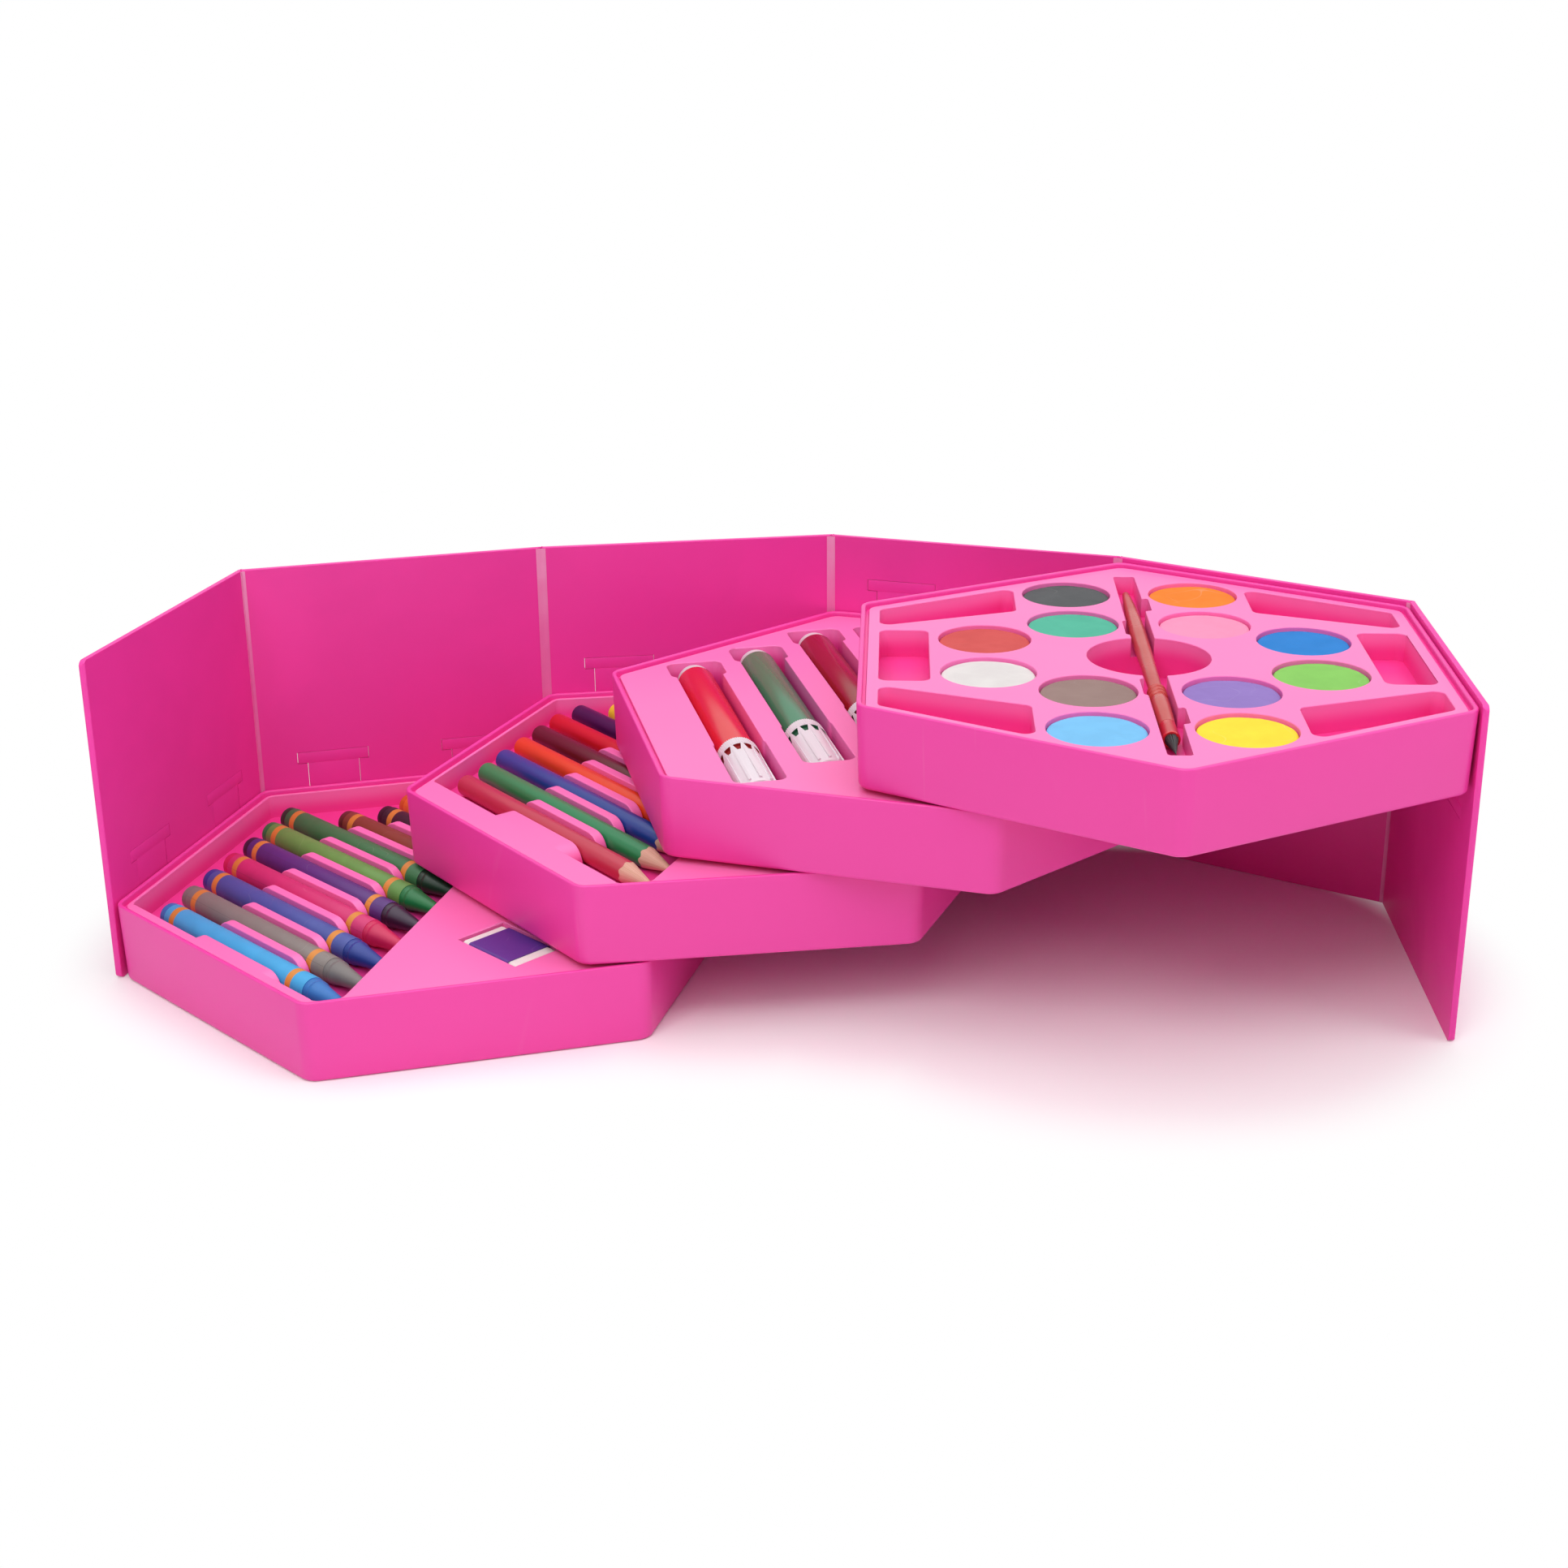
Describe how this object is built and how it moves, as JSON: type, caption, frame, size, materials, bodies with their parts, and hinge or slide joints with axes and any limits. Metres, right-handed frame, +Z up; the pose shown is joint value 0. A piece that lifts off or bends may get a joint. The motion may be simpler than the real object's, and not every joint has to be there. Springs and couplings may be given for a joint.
{
  "type": "fold-out art supply box",
  "caption": "Six-sided art box that folds out like a fan: a hinged strip of wall panels carries stacked trays of crayons, pencils, felt pens and paints with a brush.",
  "frame": {"origin": "on the floor under the centre of the lowest tray", "axes": "+Z up, +X along the lowest tray's back panel towards the other trays, +Y from the front to the back panel"},
  "size_m": [0.4213, 0.2682, 0.1074],
  "materials": {
    "panel_plastic": "satin polypropylene",
    "tray_plastic": "satin moulded",
    "insert_plastic": "thin vacuum-formed sheet",
    "eraser_rubber": "matte",
    "eraser_card": "coated card",
    "sharpener_plastic": "moulded",
    "blade_steel": "ground",
    "marker_white": "moulded",
    "marker_barrel": "moulded, one colour each",
    "brush_plastic": "moulded",
    "brush_ferrule": "moulded",
    "brush_hair": "soft bristle",
    "crayon_light_blue": "wax in a paper sleeve",
    "crayon_grey": "wax in a paper sleeve",
    "crayon_blue": "wax in a paper sleeve",
    "crayon_crimson": "wax in a paper sleeve",
    "crayon_purple": "wax in a paper sleeve",
    "crayon_light_green": "wax in a paper sleeve",
    "crayon_dark_green": "wax in a paper sleeve",
    "crayon_brown": "wax in a paper sleeve",
    "crayon_black": "wax in a paper sleeve",
    "crayon_orange": "wax in a paper sleeve",
    "crayon_yellow": "wax in a paper sleeve",
    "crayon_red": "wax in a paper sleeve",
    "pencil_rose": "lacquered wood",
    "pencil_green": "lacquered wood",
    "pencil_blue": "lacquered wood",
    "pencil_orange": "lacquered wood",
    "pencil_maroon": "lacquered wood",
    "pencil_red": "lacquered wood",
    "pencil_navy": "lacquered wood",
    "pencil_yellow": "lacquered wood",
    "pencil_light_blue": "lacquered wood",
    "pencil_brown": "lacquered wood",
    "pencil_pink": "lacquered wood",
    "pencil_black": "lacquered wood",
    "paint_black": "dry pressed paint",
    "paint_orange": "dry pressed paint",
    "paint_teal": "dry pressed paint",
    "paint_light_pink": "dry pressed paint",
    "paint_brick_red": "dry pressed paint",
    "paint_blue": "dry pressed paint",
    "paint_white": "dry pressed paint",
    "paint_green": "dry pressed paint",
    "paint_umber": "dry pressed paint",
    "paint_lavender": "dry pressed paint",
    "paint_light_blue": "dry pressed paint",
    "paint_yellow": "dry pressed paint"
  },
  "bodies": {
    "tier_1": {"wall_panel_1": "panel_plastic", "wall_panel_2": "panel_plastic", "tray_shell_1": "tray_plastic", "tray_insert_1": "insert_plastic", "crayon_01_light_blue": "crayon_light_blue", "crayon_02_grey": "crayon_grey", "crayon_03_blue": "crayon_blue", "crayon_04_crimson": "crayon_crimson", "crayon_05_purple": "crayon_purple", "crayon_06_light_green": "crayon_light_green", "crayon_07_dark_green": "crayon_dark_green", "crayon_08_brown": "crayon_brown", "crayon_09_black": "crayon_black", "crayon_10_orange": "crayon_orange", "crayon_11_yellow": "crayon_yellow", "crayon_12_red": "crayon_red", "eraser": "eraser_rubber", "eraser_sleeve": "eraser_card", "sharpener_body": "sharpener_plastic", "sharpener_blade": "blade_steel"},
    "tier_2": {"wall_panel_3": "panel_plastic", "tray_shell_2": "tray_plastic", "tray_insert_2": "insert_plastic", "pencil_01_rose": "pencil_rose", "pencil_02_green": "pencil_green", "pencil_03_blue": "pencil_blue", "pencil_04_orange": "pencil_orange", "pencil_05_maroon": "pencil_maroon", "pencil_06_red": "pencil_red", "pencil_07_navy": "pencil_navy", "pencil_08_yellow": "pencil_yellow", "pencil_09_light_blue": "pencil_light_blue", "pencil_10_brown": "pencil_brown", "pencil_11_pink": "pencil_pink", "pencil_12_black": "pencil_black"},
    "tier_3": {"wall_panel_4": "panel_plastic", "tray_shell_3": "tray_plastic", "tray_insert_3": "insert_plastic", "marker_plugs": "marker_white", "marker_barrels": "marker_barrel", "marker_caps": "marker_white"},
    "tier_4": {"wall_panel_5": "panel_plastic", "wall_panel_6": "panel_plastic", "tray_shell_4": "tray_plastic", "tray_insert_4": "insert_plastic", "paint_black": "paint_black", "paint_orange": "paint_orange", "paint_teal": "paint_teal", "paint_light_pink": "paint_light_pink", "paint_brick_red": "paint_brick_red", "paint_blue": "paint_blue", "paint_white": "paint_white", "paint_green": "paint_green", "paint_umber": "paint_umber", "paint_lavender": "paint_lavender", "paint_light_blue": "paint_light_blue", "paint_yellow": "paint_yellow"},
    "brush": {"brush_handle": "brush_plastic", "brush_ferrule": "brush_ferrule", "brush_bristles": "brush_hair"}
  },
  "joints": [
    {"name": "hinge_b", "type": "hinge", "parent": "tier_1", "child": "tier_2", "pos_m": [0.0525, 0.09093, 0], "axis": [0, 0, -1], "range_deg": [-7.2, 52.8]},
    {"name": "hinge_c", "type": "hinge", "parent": "tier_2", "child": "tier_3", "pos_m": [0.15667, 0.07777, 0], "axis": [0, 0, -1], "range_deg": [-25.7, 34.3]},
    {"name": "hinge_d", "type": "hinge", "parent": "tier_3", "child": "tier_4", "pos_m": [0.24483, 0.02074, 0], "axis": [0, 0, -1], "range_deg": [-14.8, 45.2]},
    {"name": "brush_lift", "type": "slide", "parent": "tier_4", "child": "brush", "axis": [0, 0, 1], "range_m": [0, 0.03]}
  ]
}
